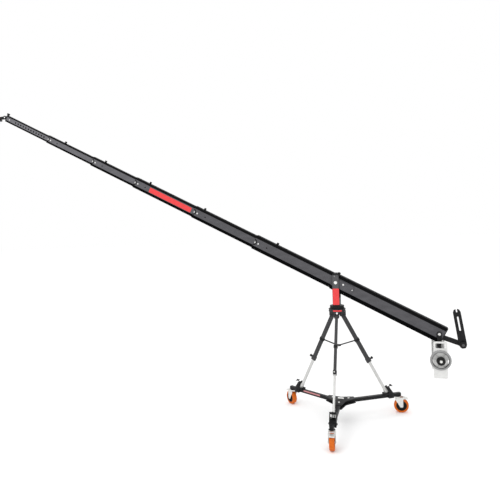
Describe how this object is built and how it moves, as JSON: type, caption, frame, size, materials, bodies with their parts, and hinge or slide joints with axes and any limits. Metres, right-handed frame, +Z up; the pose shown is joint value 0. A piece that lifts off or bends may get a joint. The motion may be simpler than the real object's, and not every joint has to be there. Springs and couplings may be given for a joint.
{
  "type": "camera jib crane",
  "caption": "Telescopic camera crane: nested boom with locking knobs, tilting in a panning yoke on a spread tripod, rear counterweight hanger, level tip arm and a three-armed caster dolly.",
  "frame": {"origin": "on the floor under the centre of the bounding box", "axes": "+X to the counterweight end of the boom, -X to the tip; +Y away from the side with the grip disc; +Z up"},
  "size_m": [5.3714, 1.1738, 3.5457],
  "materials": {
    "boom_black": "anodised, dark grey webs between black flanges",
    "black_paint": "satin black paint on steel",
    "black_alloy": "satin black on aluminium",
    "grey_alloy": "grey powder coat on aluminium",
    "silver_alloy": "bright anodised aluminium",
    "zinc": "bright zinc plate",
    "iron": "grey paint on cast iron",
    "black_plastic": "moulded black plastic",
    "orange_tyre": "orange polyurethane tread"
  },
  "bodies": {
    "base": {"dolly_frame": "grey_alloy", "foot_clamp_1": "black_alloy", "foot_clamp_2": "black_alloy", "foot_clamp_3": "black_alloy", "crown": "grey_alloy", "pan_base": "black_alloy", "spreader": "black_alloy", "leg_upper_1": "black_alloy", "leg_upper_2": "black_alloy", "leg_upper_3": "black_alloy"},
    "yoke": {"yoke": "grey_alloy"},
    "main_boom": {"main_tube": "boom_black", "rear_bar": "black_alloy"},
    "boom_section_1": {"section_1": "boom_black"},
    "boom_section_2": {"section_2": "boom_black"},
    "boom_section_3": {"section_3": "boom_black"},
    "boom_section_4": {"section_4": "boom_black"},
    "boom_section_5": {"section_5": "boom_black"},
    "boom_section_6": {"section_6": "boom_black", "tip_cap": "black_alloy"},
    "section_lock_1": {"lock_knob_1": "black_plastic"},
    "section_lock_2": {"lock_knob_2": "black_plastic"},
    "section_lock_3": {"lock_knob_3": "black_plastic"},
    "section_lock_4": {"lock_knob_4": "black_plastic"},
    "section_lock_5": {"lock_knob_5": "black_plastic"},
    "section_lock_6": {"lock_knob_6": "black_plastic"},
    "tip_lock": {"tip_knob": "black_plastic"},
    "tip_arm": {"tip_arm": "black_alloy"},
    "weight_hanger": {"hanger_clevis": "black_paint", "hanger_plate_near": "silver_alloy", "hanger_plate_far": "silver_alloy", "weight_rod": "zinc", "grip_disc": "iron", "weight_disc_1": "iron", "weight_disc_2": "iron", "weight_disc_3": "iron"},
    "rod_collar": {"rod_collar": "black_plastic"},
    "monitor_bracket": {"monitor_bracket": "black_alloy"},
    "monitor_knob": {"monitor_knob": "black_plastic"},
    "lower_leg_1": {"leg_lower_1": "silver_alloy"},
    "leg_lock_1": {"leg_knob_1": "black_plastic"},
    "foot_lever_1": {"foot_lever_1": "black_paint"},
    "caster_1": {"caster_fork_1": "zinc"},
    "wheel_1": {"rim_1": "black_plastic", "tyre_1": "orange_tyre"},
    "brake_1": {"brake_pedal_1": "zinc"},
    "lower_leg_2": {"leg_lower_2": "silver_alloy"},
    "leg_lock_2": {"leg_knob_2": "black_plastic"},
    "foot_lever_2": {"foot_lever_2": "black_paint"},
    "caster_2": {"caster_fork_2": "zinc"},
    "wheel_2": {"rim_2": "black_plastic", "tyre_2": "orange_tyre"},
    "brake_2": {"brake_pedal_2": "zinc"},
    "lower_leg_3": {"leg_lower_3": "silver_alloy"},
    "leg_lock_3": {"leg_knob_3": "black_plastic"},
    "foot_lever_3": {"foot_lever_3": "black_paint"},
    "caster_3": {"caster_fork_3": "zinc"},
    "wheel_3": {"rim_3": "black_plastic", "tyre_3": "orange_tyre"},
    "brake_3": {"brake_pedal_3": "zinc"}
  },
  "joints": [
    {"name": "pan", "type": "hinge", "parent": "base", "child": "yoke", "pos_m": [1.48661, 0.1714, 1.185], "axis": [0, 0, 1], "continuous": true},
    {"name": "tilt", "type": "hinge", "parent": "yoke", "child": "main_boom", "pos_m": [1.48661, 0.1714, 1.42], "axis": [0, 1, 0], "range_deg": [-42.4, 17.6]},
    {"name": "extend_1", "type": "slide", "parent": "main_boom", "child": "boom_section_1", "axis": [-0.8878, 0, 0.4602], "range_m": [-0.65, 0.02]},
    {"name": "extend_2", "type": "slide", "parent": "boom_section_1", "child": "boom_section_2", "axis": [-0.8878, 0, 0.4602], "range_m": [-0.635, 0.02]},
    {"name": "extend_3", "type": "slide", "parent": "boom_section_2", "child": "boom_section_3", "axis": [-0.8878, 0, 0.4602], "range_m": [-0.6, 0.02]},
    {"name": "extend_4", "type": "slide", "parent": "boom_section_3", "child": "boom_section_4", "axis": [-0.8878, 0, 0.4602], "range_m": [-0.43, 0.02]},
    {"name": "extend_5", "type": "slide", "parent": "boom_section_4", "child": "boom_section_5", "axis": [-0.8878, 0, 0.4602], "range_m": [-0.41, 0.02]},
    {"name": "extend_6", "type": "slide", "parent": "boom_section_5", "child": "boom_section_6", "axis": [-0.8878, 0, 0.4602], "range_m": [-0.63, 0.02]},
    {"name": "section_lock_turn_1", "type": "hinge", "parent": "main_boom", "child": "section_lock_1", "pos_m": [1.5157, 0.1714, 1.49785], "axis": [0.4602, 0, 0.8878], "range_deg": [0, 360]},
    {"name": "section_lock_turn_2", "type": "hinge", "parent": "boom_section_1", "child": "section_lock_2", "pos_m": [0.89212, 0.1714, 1.81376], "axis": [0.4602, 0, 0.8878], "range_deg": [0, 360]},
    {"name": "section_lock_turn_3", "type": "hinge", "parent": "boom_section_2", "child": "section_lock_3", "pos_m": [0.09427, 0.1714, 2.21718], "axis": [0.4602, 0, 0.8878], "range_deg": [0, 360]},
    {"name": "section_lock_turn_4", "type": "hinge", "parent": "boom_section_3", "child": "section_lock_4", "pos_m": [-0.55393, 0.1714, 2.54642], "axis": [0.4602, 0, 0.8878], "range_deg": [0, 360]},
    {"name": "section_lock_turn_5", "type": "hinge", "parent": "boom_section_4", "child": "section_lock_5", "pos_m": [-1.11736, 0.1714, 2.83059], "axis": [0.4602, 0, 0.8878], "range_deg": [0, 360]},
    {"name": "section_lock_turn_6", "type": "hinge", "parent": "boom_section_5", "child": "section_lock_6", "pos_m": [-1.6515, 0.1714, 3.09958], "axis": [0.4602, 0, 0.8878], "range_deg": [0, 360]},
    {"name": "tip_lock_turn", "type": "hinge", "parent": "boom_section_6", "child": "tip_lock", "pos_m": [-2.47128, 0.1714, 3.51719], "axis": [0.4602, 0, 0.8878], "range_deg": [0, 360]},
    {"name": "tip_level", "type": "hinge", "parent": "boom_section_6", "child": "tip_arm", "pos_m": [-2.51566, 0.1714, 3.49458], "axis": [0, 1, 0], "range_deg": [-55, 75]},
    {"name": "hanger_swing", "type": "hinge", "parent": "main_boom", "child": "weight_hanger", "pos_m": [2.44279, 0.1714, 0.92436], "axis": [0, 1, 0], "range_deg": [-17.6, 72.4]},
    {"name": "rod_collar_turn", "type": "hinge", "parent": "weight_hanger", "child": "rod_collar", "pos_m": [2.44279, -0.0106, 0.70237], "axis": [0, -1, 0], "range_deg": [0, 360]},
    {"name": "monitor_tilt", "type": "hinge", "parent": "main_boom", "child": "monitor_bracket", "pos_m": [2.65011, 0.1514, 0.82206], "axis": [0, 1, 0], "range_deg": [-18, 100]},
    {"name": "monitor_lock_turn", "type": "hinge", "parent": "main_boom", "child": "monitor_knob", "pos_m": [2.65011, 0.1354, 0.82206], "axis": [0, -1, 0], "range_deg": [0, 360]},
    {"name": "leg_extend_1", "type": "slide", "parent": "base", "child": "lower_leg_1", "axis": [0, -0.4738, -0.8806], "range_m": [-0.23, 0]},
    {"name": "leg_lock_turn_1", "type": "hinge", "parent": "base", "child": "leg_lock_1", "pos_m": [1.48661, -0.18302, 0.6022], "axis": [0, -0.8806, 0.4738], "range_deg": [0, 360]},
    {"name": "foot_lever_turn_1", "type": "hinge", "parent": "base", "child": "foot_lever_1", "pos_m": [1.48661, -0.38333, 0.28691], "axis": [0, -0.8806, 0.4738], "range_deg": [0, 360]},
    {"name": "caster_swivel_1", "type": "hinge", "parent": "base", "child": "caster_1", "pos_m": [1.48661, -0.4716, 0.16], "axis": [0, 0, 1], "continuous": true},
    {"name": "wheel_spin_1", "type": "hinge", "parent": "caster_1", "child": "wheel_1", "pos_m": [1.49009, -0.51145, 0.075], "axis": [0.9962, 0.0872, 0], "continuous": true},
    {"name": "brake_press_1", "type": "hinge", "parent": "caster_1", "child": "brake_1", "pos_m": [1.49236, -0.53735, 0.1537], "axis": [0.9962, 0.0872, 0], "range_deg": [0, 9]},
    {"name": "leg_extend_2", "type": "slide", "parent": "base", "child": "lower_leg_2", "axis": [0.4104, 0.2369, -0.8806], "range_m": [-0.23, 0]},
    {"name": "leg_lock_turn_2", "type": "hinge", "parent": "base", "child": "leg_lock_2", "pos_m": [1.79354, 0.34861, 0.6022], "axis": [0.7626, 0.4403, 0.4738], "range_deg": [0, 360]},
    {"name": "foot_lever_turn_2", "type": "hinge", "parent": "base", "child": "foot_lever_2", "pos_m": [1.96702, 0.44877, 0.28691], "axis": [0.7626, 0.4403, 0.4738], "range_deg": [0, 360]},
    {"name": "caster_swivel_2", "type": "hinge", "parent": "base", "child": "caster_2", "pos_m": [2.04346, 0.4929, 0.16], "axis": [0, 0, 1], "continuous": true},
    {"name": "wheel_spin_2", "type": "hinge", "parent": "caster_2", "child": "wheel_2", "pos_m": [2.08331, 0.49639, 0.075], "axis": [-0.0872, 0.9962, 0], "continuous": true},
    {"name": "brake_press_2", "type": "hinge", "parent": "caster_2", "child": "brake_2", "pos_m": [2.10921, 0.49865, 0.1537], "axis": [-0.0872, 0.9962, 0], "range_deg": [0, 9]},
    {"name": "leg_extend_3", "type": "slide", "parent": "base", "child": "lower_leg_3", "axis": [-0.4104, 0.2369, -0.8806], "range_m": [-0.23, 0]},
    {"name": "leg_lock_turn_3", "type": "hinge", "parent": "base", "child": "leg_lock_3", "pos_m": [1.17968, 0.34861, 0.6022], "axis": [-0.7626, 0.4403, 0.4738], "range_deg": [0, 360]},
    {"name": "foot_lever_turn_3", "type": "hinge", "parent": "base", "child": "foot_lever_3", "pos_m": [1.0062, 0.44877, 0.28691], "axis": [-0.7626, 0.4403, 0.4738], "range_deg": [0, 360]},
    {"name": "caster_swivel_3", "type": "hinge", "parent": "base", "child": "caster_3", "pos_m": [0.92975, 0.4929, 0.16], "axis": [0, 0, 1], "continuous": true},
    {"name": "wheel_spin_3", "type": "hinge", "parent": "caster_3", "child": "wheel_3", "pos_m": [0.90147, 0.52119, 0.075], "axis": [-0.7071, -0.7071, 0], "continuous": true},
    {"name": "brake_press_3", "type": "hinge", "parent": "caster_3", "child": "brake_3", "pos_m": [0.88309, 0.53957, 0.1537], "axis": [-0.7071, -0.7071, 0], "range_deg": [0, 9]}
  ]
}
